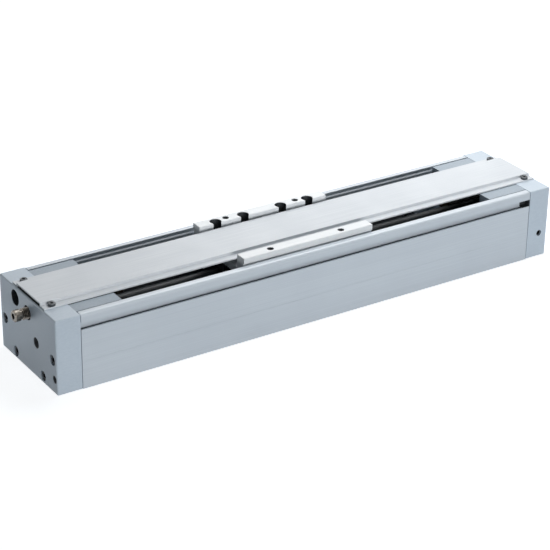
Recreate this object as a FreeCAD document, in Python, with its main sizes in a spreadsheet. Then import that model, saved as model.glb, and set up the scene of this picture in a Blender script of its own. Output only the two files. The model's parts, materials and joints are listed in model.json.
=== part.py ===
import FreeCAD, Part
import os
import re
import Sketcher

# Rodless pneumatic cylinder with a magnetically coupled piston and a table on two profile rails.
# X runs along the stroke, Y from the front side (-) to the rear side (+), Z up from the underside.
# The two ends are the same pieces turned half a turn about Z. All sizes in millimetres.

SIZES = {
    # Body
    "body_length": 504,
    "body_width": 100,
    "body_height": 67.5,
    "plate_thickness": 22.4,
    "plate_chamfer": 0.8,
    "stroke": 200,
    # Base extrusion
    "base_wall": 4,
    "base_lip": 5,
    "floor_width": 30,
    "floor_clear": 2.5,
    "seat_height": 20,
    "seat_step": 3,
    "seat_margin": 3,
    # Side covers with their sensor groove and the ledge along the slot, and the joint at the end plates
    "cover_joint": 0.5,
    "joint_depth": 1.5,
    "side_wall": 4,
    "side_head": 17,
    "side_round": 2.6,
    "groove_drop": 10.5,
    "groove_mouth": 6.4,
    "groove_lip": 1.5,
    "groove_width": 8.4,
    "groove_depth": 4.6,
    "groove_entry": 8,
    "slot_ledge": 1,
    "slot_ledge_drop": 3,
    "slot_ledge_height": 1,
    # Top cover, a folded sheet with a raised panel
    "cover_sheet": 1.2,
    "cover_raise": 2.3,
    "flange_margin": 0.3,
    "cover_slant": 0.3,
    "cover_inset": 1.5,
    "cover_screw_inset": 10,
    "cover_screw_web": 1.4,
    # Blocks that close the slot ends
    "corner_clear": 22.5,
    "corner_drop": 0.3,
    "corner_gap": 0.1,
    # Table
    "slot_gap": 2,
    "bar_width": 11,
    "bar_rise": 5.7,
    "bar_chamfer": 0.5,
    "bar_lip": 1.2,
    "bar_lip_clear": 0.7,
    "table_length": 131,
    "table_rest": -6,
    "bridge_thickness": 6,
    "foot_width": 6,
    "foot_height": 6,
    "mount_pitch": 72,
    "mount_hole": 6,
    "mount_depth": 14,
    # Guides
    "rail_width": 12,
    "rail_height": 9,
    "rail_end": 11,
    "rail_margin": 5,
    "rail_track": 1.2,
    "rail_screw_grip": 7,
    "block_length": 44,
    "block_height": 13,
    "block_clear": 3,
    "block_gap": 1,
    "block_side_gap": 2,
    "block_offset": 33.5,
    "block_pitch": 28,
    "block_grip": 5.2,
    "block_counterbore": 10.5,
    "block_seat": 7,
    "rear_bolt_inset": 3.5,
    "front_bolt_inset": 2.5,
    "end_seal": 3,
    "end_seal_step": 0.5,
    "guide_gap": 0.05,
    # Socket screws
    "small_screw": 4,
    "small_head": 7,
    "small_head_height": 4,
    "small_key": 3,
    "large_screw": 5,
    "large_head": 8.5,
    "large_head_height": 5,
    "large_key": 4,
    "flat_screw": 4,
    "flat_head": 6.4,
    "flat_head_height": 2,
    "flat_key": 2.5,
    "screw_gap": 0.1,
    "head_gap": 0.35,
    "head_sink": 1.2,
    "table_head_sink": 0.2,
    # Tube and its seats
    "bore": 25,
    "tube_wall": 1.4,
    "tube_seat": 10,
    "fit_gap": 0.05,
    "gasket_section": 1.5,
    "gasket_width": 2.5,
    "gasket_place": 4,
    "chamber_diameter": 22,
    "chamber_depth": 4,
    # Cushion spears
    "spear_diameter": 12,
    "spear_root": 6,
    "cushion_stroke": 50,
    "spear_nose": 2,
    "spear_groove": 2,
    "spear_groove_deep": 1.8,
    "spear_groove_shallow": 0.3,
    # Piston
    "magnet_width": 5,
    "yoke_width": 4,
    "shaft_diameter": 18,
    "shaft_clear": 0.3,
    "magnet_clear": 0.5,
    "piston_length": 16,
    "piston_clear": 0.3,
    "seal_place": 3,
    "seal_width": 2.5,
    "seal_depth": 1.7,
    "ring_place": 8,
    "ring_width": 6,
    "ring_depth": 1.2,
    "nut_length": 5,
    "nut_lip": 1.5,
    "nut_diameter": 22,
    "cushion_seal_width": 3,
    "cushion_seal_section": 1.7,
    # Magnet housing on the table
    "housing_length": 76,
    "housing_wall": 4,
    "tube_clear": 0.4,
    "outer_magnet_section": 4.7,
    "wear_width": 6,
    "wear_gap": 3,
    "wear_depth": 1.3,
    "scraper_width": 3,
    "scraper_depth": 1.5,
    "housing_screw_inset": 8,
    "housing_screw_edge": 6,
    "housing_screw_grip": 8,
    # Stops
    "stop_wall": 0.8,
    "stop_diameter": 10,
    "stop_reach": 12.5,
    "stop_key": 5,
    "stop_key_depth": 5,
    "stop_recess": 12.6,
    "stop_recess_depth": 3,
    "stop_touch": 0.3,
    "bumper_length": 6,
    "bumper_diameter": 9,
    "bumper_spigot": 4,
    "bumper_spigot_length": 4,
    "stop_block_length": 12,
    "stop_block_width": 18,
    "stop_block_clear": 1.1,
    "stop_screw_offset": 5,
    "stop_screw_web": 2.5,
    # Holes of the end plates
    "spare_offset": 22,
    "spare_lift": 4.1,
    "spare_recess": 14,
    "spare_recess_depth": 6,
    "port_offset": 14,
    "port_diameter": 9.7,
    "port_depth": 12,
    "side_screw_inset": 7.6,
    "side_screw_height": 29.5,
    "side_screw_grip": 10,
    "base_screw_inset": 0.5,
    "base_screw_height": 6.5,
    "base_screw_grip": 12,
    "corner_hole": 7,
    "corner_hole_inset": 4.8,
    "corner_hole_height": 13,
    "corner_hole_depth": 10,
    "plug_inset": 9,
    "plug_drop": 6,
    "plug_diameter": 5.5,
    "plug_length": 6,
    "plug_sink": 1.5,
    "plug_hole_depth": 10,
    "foot_hole": 6,
    "foot_hole_depth": 12,
    "foot_hole_inset": 15,
}

MAGNETS = 4
RAIL_SCREWS = 6
HEX_CORNER = 0.57735

# Sizes that follow from the driving ones
DERIVED = {
    "half_length": "body_length / 2",
    "half_width": "body_width / 2",
    "inner_face": "half_length - plate_thickness",
    "base_height": "seat_height + base_lip",
    "housing_width": "2 * (slider_radius + housing_wall)",
    "height_left": "body_height - housing_width - bridge_thickness - floor_clear",
    "base_floor": "height_left / 2",
    "axis_height": "base_floor + floor_clear + housing_width / 2",
    "side_inner": "half_width - side_wall",
    "block_out": "side_inner - block_side_gap",
    "block_in": "housing_width / 2 + block_gap",
    "rail_offset": "(block_in + block_out) / 2",
    "seat_inner": "rail_offset - rail_width / 2 - seat_margin",
    "head_bottom": "body_height - side_head",
    "side_half": "inner_face - cover_joint",
    "groove_height": "body_height - groove_drop",
    "bar_in": "rail_offset - rear_bolt_inset",
    "bar_out": "bar_in + bar_width",
    "bar_centre": "bar_in + bar_width / 2",
    "bar_top": "body_height + bar_rise",
    "slot_out": "bar_out + slot_gap",
    "cover_edge": "bar_in - slot_gap",
    "cover_flange": "flat_head + 2 * flange_margin",
    "panel_half": "cover_edge - cover_flange",
    "panel_top": "body_height + cover_sheet + cover_raise",
    "cover_half": "half_length - cover_inset",
    "cover_screw_offset": "cover_edge - cover_flange / 2",
    "cover_screw_place": "half_length - cover_screw_inset",
    "cover_screw_grip": "body_height - spare_height - stop_diameter / 2 - cover_screw_web",
    "corner_length": "inner_face - stroke / 2 - table_half - corner_clear",
    "rail_top": "seat_height + rail_height",
    "rail_length": "stroke + 2 * (block_offset + block_length / 2 + end_seal + rail_margin)",
    "rail_pitch": "(rail_length - 2 * rail_end) / %d" % (RAIL_SCREWS - 1),
    "block_bottom": "seat_height + block_clear",
    "block_top": "block_bottom + block_height",
    "channel_in": "rail_offset - rail_width / 2 - guide_gap",
    "channel_out": "rail_offset + rail_width / 2 + guide_gap",
    "channel_top": "rail_top + guide_gap",
    "rear_bolt": "bar_in + rear_bolt_inset",
    "front_bolt": "bar_in - front_bolt_inset",
    "foot_in": "bar_in - foot_width",
    "foot_top": "block_top + foot_height",
    "bridge_bottom": "axis_height + housing_width / 2",
    "bridge_top": "bridge_bottom + bridge_thickness",
    "table_half": "table_length / 2",
    "tube_radius": "bore / 2 + tube_wall",
    "tube_half": "inner_face + tube_seat",
    "gasket_radius": "tube_radius + gasket_section",
    "spear_radius": "spear_diameter / 2",
    "spear_end": "tube_half + chamber_depth + spear_root",
    "stack": "%d * magnet_width + %d * yoke_width" % (MAGNETS, MAGNETS + 1),
    "stack_pitch": "magnet_width + yoke_width",
    "shaft_radius": "shaft_diameter / 2",
    "shaft_bore": "spear_radius + shaft_clear",
    "shaft_half": "stack / 2 + piston_length + nut_length - nut_lip",
    "piston_end": "shaft_half + nut_lip",
    "spear_tip": "stroke / 2 + piston_end - cushion_stroke",
    "piston_radius": "bore / 2 - piston_clear",
    "rubbing_radius": "bore / 2 - fit_gap",
    "inner_magnet_radius": "bore / 2 - magnet_clear",
    "slider_bore": "tube_radius + tube_clear",
    "slider_rub": "tube_radius + fit_gap",
    "slider_radius": "slider_bore + outer_magnet_section",
    "end_ring_length": "(housing_length - stack) / 2",
    "wear_place": "end_ring_length - scraper_width - wear_gap - wear_width",
    "housing_screw_offset": "housing_width / 2 - housing_screw_edge",
    "stop_height": "axis_height + gasket_radius + stop_wall + stop_diameter / 2",
    "stop_block_height": "housing_width / 2 - tube_radius - stop_block_clear",
    "stop_screw_grip": "stop_block_height - stop_screw_web",
    "stop_tip": "stroke / 2 + table_half + stop_touch",
    "stop_shoulder": "stop_tip + bumper_length",
    "stop_outer": "half_length + stop_reach",
    "spare_height": "stop_height + spare_lift",
    "side_screw_offset": "half_width - side_screw_inset",
    "base_screw_offset": "seat_inner - base_screw_inset",
    "corner_hole_offset": "half_width - corner_hole_inset",
    "foot_hole_offset": "half_width - foot_hole_inset",
    "plug_height": "side_screw_height - plug_drop",
    "large_sink": "large_head_height + head_sink",
    "table_sink": "small_head_height + table_head_sink",
}

WORD = re.compile(r"[a-z][a-z_]*")
doc = FreeCAD.newDocument("rodless_cylinder")
sheet = doc.addObject("Spreadsheet::Sheet", "sizes")
nodes = []


def fill_sheet():
    """Write each driving size to its own named cell."""
    for row, (name, number) in enumerate(SIZES.items(), start=1):
        sheet.set("A%d" % row, name)
        sheet.set("B%d" % row, str(number))
        sheet.setAlias("B%d" % row, name)
    doc.recompute()


def formula(text):
    """Turn plain size names into an expression on the sheet's cells."""
    def cell(match):
        word = match.group(0)
        if word in DERIVED:
            return "(" + formula(DERIVED[word]) + ")"
        return "sizes." + word
    return WORD.sub(cell, str(text))


def value(text):
    return float(sheet.evalExpression(formula(text)))


def minus(text):
    return "-(%s)" % text


def new_body(name):
    return doc.addObject("PartDesign::Body", name)


def new_sketch(body, plane, offset="0"):
    """A sketch on one of the body's own planes, moved along its normal by offset."""
    sketch = body.newObject("Sketcher::SketchObject", body.Name + "_sketch")
    planes = [item for item in body.Origin.OriginFeatures if item.Role == plane + "_Plane"]
    sketch.AttachmentSupport = [(planes[0], "")]
    sketch.MapMode = "FlatFace"
    sketch.setExpression(".AttachmentOffset.Base.z", formula(offset))
    return sketch


def fix_point(sketch, geometry, end, across, up):
    """Hold one point of the sketch at a place given by two formulas."""
    for kind, text, axis in (("DistanceX", across, -2), ("DistanceY", up, -1)):
        if text == "0":
            sketch.addConstraint(Sketcher.Constraint("PointOnObject", geometry, end, axis))
            continue
        row = sketch.addConstraint(Sketcher.Constraint(kind, -1, 1, geometry, end, value(text)))
        sketch.setExpression("Constraints[%d]" % row, formula(text))


def outline(sketch, points):
    """A closed outline of straight edges through points given as pairs of formulas."""
    spots = [FreeCAD.Vector(value(across), value(up), 0) for across, up in points]
    edges = [sketch.addGeometry(Part.LineSegment(spots[i - 1], spots[i])) for i in range(len(spots))]
    for i, edge in enumerate(edges):
        sketch.addConstraint(Sketcher.Constraint("Coincident", edges[i - 1], 2, edge, 1))
    for i, edge in enumerate(edges):
        fix_point(sketch, edge, 2, *points[i])
    return sketch


def circles(sketch, spots, radius):
    """Circles of one radius at centres given as pairs of formulas."""
    for across, up in spots:
        centre = FreeCAD.Vector(value(across), value(up), 0)
        circle = sketch.addGeometry(Part.Circle(centre, FreeCAD.Vector(0, 0, 1), value(radius)))
        row = sketch.addConstraint(Sketcher.Constraint("Radius", circle, value(radius)))
        sketch.setExpression("Constraints[%d]" % row, formula(radius))
        fix_point(sketch, circle, 3, across, up)
    return sketch


def hexagon(sketch, key, up="0"):
    """A hexagon for a key of the given width across flats."""
    corner = "%s * %s" % (HEX_CORNER, key)
    half = "%s / 2 * %s" % (HEX_CORNER, key)
    flat = "%s / 2" % key
    points = [(corner, up), (half, up + " + " + flat), (minus(half), up + " + " + flat),
              (minus(corner), up), (minus(half), up + " - " + flat), (half, up + " - " + flat)]
    return outline(sketch, points)


def pad(body, sketch, length):
    feature = body.newObject("PartDesign::Pad", body.Name + "_pad")
    feature.Profile = sketch
    feature.setExpression("Length", formula(length))
    doc.recompute()
    return feature


def cut(body, sketch, depth, forward=False):
    """Cut the sketch into the body, against its normal, or along it where forward is set."""
    before = body.Shape.Volume
    feature = body.newObject("PartDesign::Pocket", body.Name + "_cut")
    feature.Profile = sketch
    feature.Reversed = forward
    feature.setExpression("Length", formula(depth))
    doc.recompute()
    if body.Shape.Volume >= before:
        raise RuntimeError("A cut missed the solid of " + body.Name)
    return feature


def turned(name, points):
    """A turned piece about X from a half profile of (along, radius) formulas."""
    body = new_body(name)
    sketch = outline(new_sketch(body, "XZ"), points)
    feature = body.newObject("PartDesign::Revolution", name + "_turn")
    feature.Profile = sketch
    feature.ReferenceAxis = (sketch, ["H_Axis"])
    feature.Angle = 360
    doc.recompute()
    return body


def ring(name, inner, outer, width):
    return turned(name, [("0", inner), (width, inner), (width, outer), ("0", outer)])


def rectangle(low, high):
    """The corner points of a rectangle from two opposite corners."""
    return [low, (high[0], low[1]), high, (low[0], high[1])]


def place(item, along="0", across="0", up="0", half_turn=False, down=False):
    """Put a piece in the shared frame; down turns its own X axis to point down."""
    rotation = FreeCAD.Rotation()
    if half_turn:
        rotation = FreeCAD.Rotation(FreeCAD.Vector(0, 0, 1), 180)
    if down:
        rotation = FreeCAD.Rotation(FreeCAD.Vector(0, 1, 0), 90)
    item.Placement = FreeCAD.Placement(FreeCAD.Vector(), rotation)
    for axis, text in (("x", along), ("y", across), ("z", up)):
        if text != "0":
            item.setExpression(".Placement.Base." + axis, formula(text))


def node(item, label):
    """Name a finished sub-part; the label is also its file name."""
    item.Label = label
    nodes.append(item)


def copies(label, pieces):
    """One node that holds several separate copies; pieces are (master, placing) pairs."""
    links = []
    for master, placing in pieces:
        link = doc.addObject("App::Link", master.Name + "_copy")
        link.LinkedObject = master
        place(link, **placing)
        links.append(link)
    group = doc.addObject("Part::Compound", label)
    group.Links = links
    doc.recompute()
    node(group, label)


def both_sides(across, up=None):
    """The same place on the front and on the rear side."""
    return [(across, up), (minus(across), up)]


def grid(along, across):
    """Four places at plus and minus both distances."""
    return [(x, y) for x in (along, minus(along)) for y in (across, minus(across))]


def screw(name, size, length):
    """A socket head screw along X, its head's seat at X = 0; size is small, large or flat."""
    shank = size + "_screw / 2"
    head = size + "_head / 2"
    height = size + "_head_height"
    body = turned(name, [(minus(height), "0"), (length, "0"), (length, shank), ("0", shank),
                         ("0", head), (minus(height), head)])
    socket = hexagon(new_sketch(body, "YZ", minus(height)), size + "_key")
    cut(body, socket, height + " / 2", forward=True)
    return body


def end_plate(label, half_turn):
    """Block end plate with the tube seat, the stop bolt, ports and screw holes."""
    body = new_body(label)
    outer = minus("half_length")
    block = pad(body, outline(new_sketch(body, "YZ", outer),
                              rectangle((minus("half_width"), "0"), ("half_width", "body_height"))),
                "plate_thickness")
    near_face = value(outer) + value("plate_chamfer") / 2
    edges = ["Edge%d" % number for number, edge in enumerate(block.Shape.Edges, start=1)
             if edge.BoundBox.XMin < near_face]
    chamfer = body.newObject("PartDesign::Chamfer", label + "_chamfer")
    chamfer.Base = (block, edges)
    chamfer.setExpression("Size", formula("plate_chamfer"))
    doc.recompute()

    def drill(spots, radius, depth):
        cut(body, circles(new_sketch(body, "YZ", outer), spots, radius), depth, forward=True)

    side_screws = both_sides("side_screw_offset", "side_screw_height")
    base_screws = both_sides("base_screw_offset", "base_screw_height")
    stop = [("0", "stop_height")]
    spare = [("spare_offset", "spare_height")]
    drill(stop, "stop_diameter / 2 + fit_gap", "plate_thickness")
    drill(stop, "stop_recess / 2", "stop_recess_depth")
    drill(spare, "stop_diameter / 2", "plate_thickness")
    drill(spare, "spare_recess / 2", "spare_recess_depth")
    for screws in (side_screws, base_screws):
        drill(screws, "large_screw / 2 + screw_gap", "plate_thickness")
        drill(screws, "large_head / 2 + head_gap", "large_sink")
    drill([(minus("port_offset"), "axis_height")], "port_diameter / 2", "port_depth")
    drill([(minus("corner_hole_offset"), "corner_hole_height")], "corner_hole / 2", "corner_hole_depth")

    centre = [("0", "axis_height")]
    for offset, radius, depth in (
            ("0", "tube_radius + fit_gap", "tube_seat"),
            ("gasket_place", "gasket_radius + fit_gap", "gasket_width"),
            ("tube_seat", "chamber_diameter / 2", "chamber_depth"),
            ("tube_seat + chamber_depth", "spear_radius + fit_gap", "spear_root + fit_gap")):
        cut(body, circles(new_sketch(body, "YZ", minus("inner_face + " + offset)), centre, radius), depth)

    plug = [(minus("half_length - plug_inset"), "plug_height")]
    cut(body, circles(new_sketch(body, "XZ", minus("half_width")), plug, "plug_diameter / 2 + fit_gap"),
        "plug_hole_depth", forward=True)
    feet = both_sides(minus("foot_hole_offset"))
    middle = minus("half_length - plate_thickness / 2")
    cut(body, circles(new_sketch(body, "XY"), [(middle, across) for across, _ in feet], "foot_hole / 2"),
        "foot_hole_depth", forward=True)
    tapped = [(minus("cover_screw_place"), across) for across, _ in both_sides("cover_screw_offset")]
    cut(body, circles(new_sketch(body, "XY", "body_height"), tapped, "flat_screw / 2 + screw_gap"),
        "cover_screw_grip")
    place(body, half_turn=half_turn)
    node(body, label)


def base():
    """Base extrusion: a channel with a seat for each rail and a shallow joint at the end plates."""
    body = new_body("base")
    half = [("half_width", "0"), ("half_width", "base_height"), ("half_width - base_wall", "base_height"),
            ("half_width - base_wall", "seat_height"), ("seat_inner", "seat_height"),
            ("seat_inner", "seat_height - seat_step"), ("floor_width / 2", "base_floor")]
    points = half + [(minus(across), up) for across, up in reversed(half)]
    pad(body, outline(new_sketch(body, "YZ", minus("inner_face")), points), "2 * inner_face")
    for face, forward in (("half_width", False), (minus("half_width"), True)):
        joints = new_sketch(body, "XZ", face)
        for low, high in ((minus("inner_face"), minus("side_half")), ("side_half", "inner_face")):
            outline(joints, rectangle((low, "0"), (high, "base_height")))
        cut(body, joints, "joint_depth", forward=forward)
    screws = [(along, across) for along in rail_screw_places() for across, _ in both_sides("rail_offset")]
    cut(body, circles(new_sketch(body, "XY", "seat_height"), screws, "small_screw / 2 + screw_gap"),
        "rail_screw_grip + screw_gap")
    ends = both_sides("base_screw_offset", "base_screw_height")
    for offset, forward in ((minus("inner_face"), True), ("inner_face", False)):
        cut(body, circles(new_sketch(body, "YZ", offset), ends, "large_screw / 2 + screw_gap"),
            "base_screw_grip + screw_gap", forward=forward)
    node(body, "base")


def side_cover(label, half_turn):
    """Side cover extrusion: a thin wall with a thick head that carries the sensor groove and a slot ledge."""
    body = new_body(label)
    lip = minus("half_width - groove_lip")
    deep = minus("half_width - groove_depth")
    face = minus("half_width")
    inner = minus("side_inner")
    head = minus("slot_out")
    ledge = minus("slot_out - slot_ledge")
    ledge_top = "body_height - slot_ledge_drop - slot_ledge"
    ledge_bottom = ledge_top + " - slot_ledge_height"
    points = [(face, "base_height"),
              (face, "groove_height - groove_mouth / 2"), (lip, "groove_height - groove_mouth / 2"),
              (lip, "groove_height - groove_width / 2"), (deep, "groove_height - groove_width / 2"),
              (deep, "groove_height + groove_width / 2"), (lip, "groove_height + groove_width / 2"),
              (lip, "groove_height + groove_mouth / 2"), (face, "groove_height + groove_mouth / 2"),
              (face, "body_height"), (head, "body_height"), (head, "body_height - slot_ledge_drop"),
              (ledge, ledge_top), (ledge, ledge_bottom), (head, ledge_bottom), (head, "head_bottom"),
              (inner, "head_bottom"), (inner, "base_height")]
    wall = pad(body, outline(new_sketch(body, "YZ", minus("side_half")), points), "2 * side_half")
    corner = FreeCAD.Vector(0, value(face), value("body_height"))
    names = ["Edge%d" % number for number, edge in enumerate(wall.Shape.Edges, start=1)
             if edge.distToShape(Part.Vertex(corner))[0] < value("fit_gap")]
    fillet = body.newObject("PartDesign::Fillet", label + "_round")
    fillet.Base = (wall, names)
    fillet.setExpression("Radius", formula("side_round"))
    doc.recompute()
    entry = rectangle((face, "groove_height - groove_mouth / 2"),
                      (head, "groove_height + groove_mouth / 2"))
    cut(body, outline(new_sketch(body, "YZ", "side_half"), entry), "groove_entry")
    place(body, half_turn=half_turn)
    node(body, label)


def top_cover():
    """Top cover: a folded sheet, its raised panel open at both ends."""
    body = new_body("top_cover")
    inside = "panel_half - cover_sheet"
    outer = [("cover_edge", "body_height"), ("cover_edge", "body_height + cover_sheet"),
             ("panel_half", "body_height + cover_sheet"), ("panel_half - cover_slant", "panel_top")]
    inner = [(inside + " - cover_slant", "panel_top - cover_sheet"), (inside, "body_height")]
    points = outer + [(minus(across), up) for across, up in reversed(outer)]
    points += [(minus(across), up) for across, up in reversed(inner)] + inner
    pad(body, outline(new_sketch(body, "YZ", minus("cover_half")), points), "2 * cover_half")
    holes = grid("cover_screw_place", "cover_screw_offset")
    cut(body, circles(new_sketch(body, "XY", "panel_top"), holes, "flat_screw / 2 + screw_gap"),
        "panel_top - body_height")
    node(body, "top_cover")


def corner_block(label, across, half_turn):
    """Block behind an end plate that fills the end of a slot; across is 1 for rear or -1 for front."""
    body = new_body(label)
    turn = minus if across < 0 else str
    inner = turn("cover_edge + corner_gap")
    wall = turn("side_inner - corner_gap")
    head = turn("slot_out - slot_ledge - corner_gap")
    points = [(inner, "seat_height"), (wall, "seat_height"), (wall, "head_bottom - corner_gap"),
              (head, "head_bottom - corner_gap"), (head, "body_height - corner_drop"),
              (inner, "body_height - corner_drop")]
    pad(body, outline(new_sketch(body, "YZ", minus("inner_face")), points), "corner_length")
    tapped = circles(new_sketch(body, "YZ", minus("inner_face")),
                     [(turn("side_screw_offset"), "side_screw_height")], "large_screw / 2 + screw_gap")
    cut(body, tapped, "side_screw_grip + screw_gap", forward=True)
    place(body, half_turn=half_turn)
    node(body, label)


def rail_screw_places():
    return ["rail_end - rail_length / 2 + %d * rail_pitch" % number for number in range(RAIL_SCREWS)]


def guide_rail(label, half_turn):
    """Profile rail with a ball track along each side and counterbored screw holes."""
    body = new_body(label)
    half = "rail_width / 2"
    low = "seat_height + rail_height / 3"
    high = "seat_height + rail_height * 2 / 3"
    right = [("seat_height", half), (low, half), (low + " + rail_track", half + " - rail_track"),
             (high + " - rail_track / 2", half + " - rail_track"), (high, half), ("rail_top", half)]
    points = [("rail_offset + " + wide, up) for up, wide in right]
    points += [("rail_offset - (%s)" % wide, up) for up, wide in reversed(right)]
    pad(body, outline(new_sketch(body, "YZ", "-rail_length / 2"), points), "rail_length")
    holes = [(along, "rail_offset") for along in rail_screw_places()]
    for radius, depth in (("small_screw / 2 + screw_gap", "rail_height"),
                          ("small_head / 2 + head_gap", "small_head_height + table_head_sink")):
        cut(body, circles(new_sketch(body, "XY", "rail_top"), holes, radius), depth)
    place(body, half_turn=half_turn)
    node(body, label)


def bolt_row(middle):
    """The two bolts of a guide block along X."""
    return [middle + " - block_pitch / 2", middle + " + block_pitch / 2"]


def guide_block(label, middle, bolts, radius, half_turn):
    """Guide block over its rail, tapped for its two table screws."""
    body = new_body(label)
    points = [("block_in", "block_bottom"), ("channel_in", "block_bottom"), ("channel_in", "channel_top"),
              ("channel_out", "channel_top"), ("channel_out", "block_bottom"), ("block_out", "block_bottom"),
              ("block_out", "block_top"), ("block_in", "block_top")]
    pad(body, outline(new_sketch(body, "YZ", middle + " - block_length / 2"), points), "block_length")
    holes = [(along, bolts) for along in bolt_row(middle)]
    cut(body, circles(new_sketch(body, "XY", "block_top"), holes, radius + " / 2 + screw_gap"),
        "block_grip + screw_gap")
    place(body, along="table_rest", half_turn=half_turn)
    node(body, label)


def end_seals():
    """Seal plates on both ends of every guide block."""
    body = new_body("end_seal")
    step = " + end_seal_step"
    points = [("block_in" + step, "block_bottom"), ("channel_in - end_seal_step", "block_bottom"),
              ("channel_in - end_seal_step", "channel_top" + step),
              ("channel_out" + step, "channel_top" + step), ("channel_out" + step, "block_bottom"),
              ("block_out - end_seal_step", "block_bottom"),
              ("block_out - end_seal_step", "block_top - end_seal_step"),
              ("block_in" + step, "block_top - end_seal_step")]
    pad(body, outline(new_sketch(body, "YZ"), points), "end_seal")
    pieces = []
    for half_turn in (False, True):
        thick = " + end_seal" if half_turn else ""
        for middle in ("block_offset", "-block_offset"):
            for end in (" + block_length / 2" + thick, " - block_length / 2 - end_seal" + thick):
                pieces.append((body, {"along": "table_rest + " + middle + end, "half_turn": half_turn}))
    copies("block_end_seals", pieces)


def slide_table():
    """Table: two lipped bars that stand in the slots, joined under the top cover by a bridge."""
    body = new_body("slide_table")
    stem = "bar_out - bar_lip"
    lip = "body_height + bar_lip_clear"
    half = [("foot_in", "block_top"), (stem, "block_top"), (stem, lip), ("bar_out", lip),
            ("bar_out", "bar_top - bar_chamfer"), ("bar_out - bar_chamfer", "bar_top"),
            ("bar_in + bar_chamfer", "bar_top"), ("bar_in", "bar_top - bar_chamfer"),
            ("bar_in", "bridge_top")]
    under = [("bar_in", "bridge_bottom"), ("bar_in", "foot_top"), ("foot_in", "foot_top")]
    points = half + [(minus(across), up) for across, up in reversed(half)]
    points += [(minus(across), up) for across, up in reversed(under)] + under
    pad(body, outline(new_sketch(body, "YZ", minus("table_half")), points), "table_length")
    bolts = bolt_row("block_offset") + bolt_row("-block_offset")
    rear = [(along, "rear_bolt") for along in bolts]
    front = [(along, minus("front_bolt")) for along in bolts]
    housing = grid("housing_length / 2 - housing_screw_inset", "housing_screw_offset")
    stops = grid("table_half - stop_block_length / 2", "stop_screw_offset")
    hidden = housing + stops
    mounts = grid("mount_pitch / 2", "bar_centre")
    for level, spots, radius, depth in (
            ("bar_top", rear, "block_counterbore / 2", "bar_top - block_top - block_seat"),
            ("bar_top", rear, "large_screw / 2 + screw_gap", "bar_top - block_top"),
            ("bar_top", mounts, "mount_hole / 2", "mount_depth"),
            ("bridge_top", front, "small_head / 2 + head_gap", "bridge_top - foot_top"),
            ("bridge_top", front, "small_screw / 2 + screw_gap", "bridge_top - block_top"),
            ("bridge_top", hidden, "small_head / 2 + head_gap", "table_sink"),
            ("bridge_top", hidden, "small_screw / 2 + screw_gap", "bridge_thickness")):
        cut(body, circles(new_sketch(body, "XY", level), spots, radius), depth)
    place(body, along="table_rest")
    node(body, "slide_table")


def stop_block(label, half_turn):
    """Hardened block under the end of the bridge that meets the stop bolt."""
    body = new_body(label)
    across = "stop_block_width / 2"
    points = rectangle((minus(across), "bridge_bottom - stop_block_height"), (across, "bridge_bottom"))
    pad(body, outline(new_sketch(body, "YZ", minus("table_half")), points), "stop_block_length")
    tapped = [("stop_block_length / 2 - table_half", across) for across, _ in both_sides("stop_screw_offset")]
    cut(body, circles(new_sketch(body, "XY", "bridge_bottom"), tapped, "small_screw / 2 + screw_gap"),
        "stop_screw_grip + screw_gap")
    place(body, along="table_rest", half_turn=half_turn)
    node(body, label)


def magnet_housing():
    """Round-bellied housing that carries the outer magnets round the tube."""
    barrel = doc.addObject("Part::Cylinder", "housing_barrel")
    barrel.setExpression("Radius", formula("housing_width / 2"))
    barrel.setExpression("Height", formula("housing_length"))
    crown = doc.addObject("Part::Box", "housing_crown")
    crown.setExpression("Length", formula("housing_length"))
    crown.setExpression("Width", formula("housing_width"))
    crown.setExpression("Height", formula("housing_width / 2"))
    crown.setExpression(".Placement.Base.y", formula("-housing_width / 2"))
    block = doc.addObject("Part::Fuse", "housing_block")
    block.Base = barrel
    block.Tool = crown
    hollow = doc.addObject("Part::Cylinder", "housing_hollow")
    hollow.setExpression("Radius", formula("slider_radius + fit_gap"))
    hollow.setExpression("Height", formula("housing_length"))
    for round_piece in (barrel, hollow):
        round_piece.Placement.Rotation = FreeCAD.Rotation(FreeCAD.Vector(0, 1, 0), 90)
    tools = [hollow]
    for along in ("housing_screw_inset", "housing_length - housing_screw_inset"):
        for across, _ in both_sides("housing_screw_offset"):
            tapped = doc.addObject("Part::Cylinder", "housing_tapped")
            tapped.setExpression("Radius", formula("small_screw / 2 + screw_gap"))
            tapped.setExpression("Height", formula("housing_screw_grip + screw_gap"))
            place(tapped, along, across, "housing_width / 2 - housing_screw_grip - screw_gap")
            tools.append(tapped)
    holes = doc.addObject("Part::MultiFuse", "housing_holes")
    holes.Shapes = tools
    housing = doc.addObject("Part::Cut", "magnet_housing")
    housing.Base = block
    housing.Tool = holes
    place(housing, along="table_rest - housing_length / 2", up="axis_height")
    doc.recompute()
    node(housing, "magnet_housing")


def magnet_stack(magnets, yokes, inner, outer):
    """Ring magnets between pole yokes, in line with the table."""
    start = "table_rest - stack / 2"
    magnet = ring(magnets + "_ring", inner, outer, "magnet_width")
    yoke = ring(yokes + "_ring", inner, outer, "yoke_width")
    copies(magnets, [(magnet, {"along": start + " + yoke_width + %d * stack_pitch" % number,
                               "up": "axis_height"}) for number in range(MAGNETS)])
    copies(yokes, [(yoke, {"along": start + " + %d * stack_pitch" % number, "up": "axis_height"})
                   for number in range(MAGNETS + 1)])


def at_both_ends(label, master, distance):
    """Two copies of a turned piece on the tube's axis, each starting at distance from the table's middle."""
    copies(label, [(master, {"along": "table_rest + " + distance, "up": "axis_height"}),
                   (master, {"along": "table_rest - (%s)" % distance, "up": "axis_height",
                             "half_turn": True})])


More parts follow.
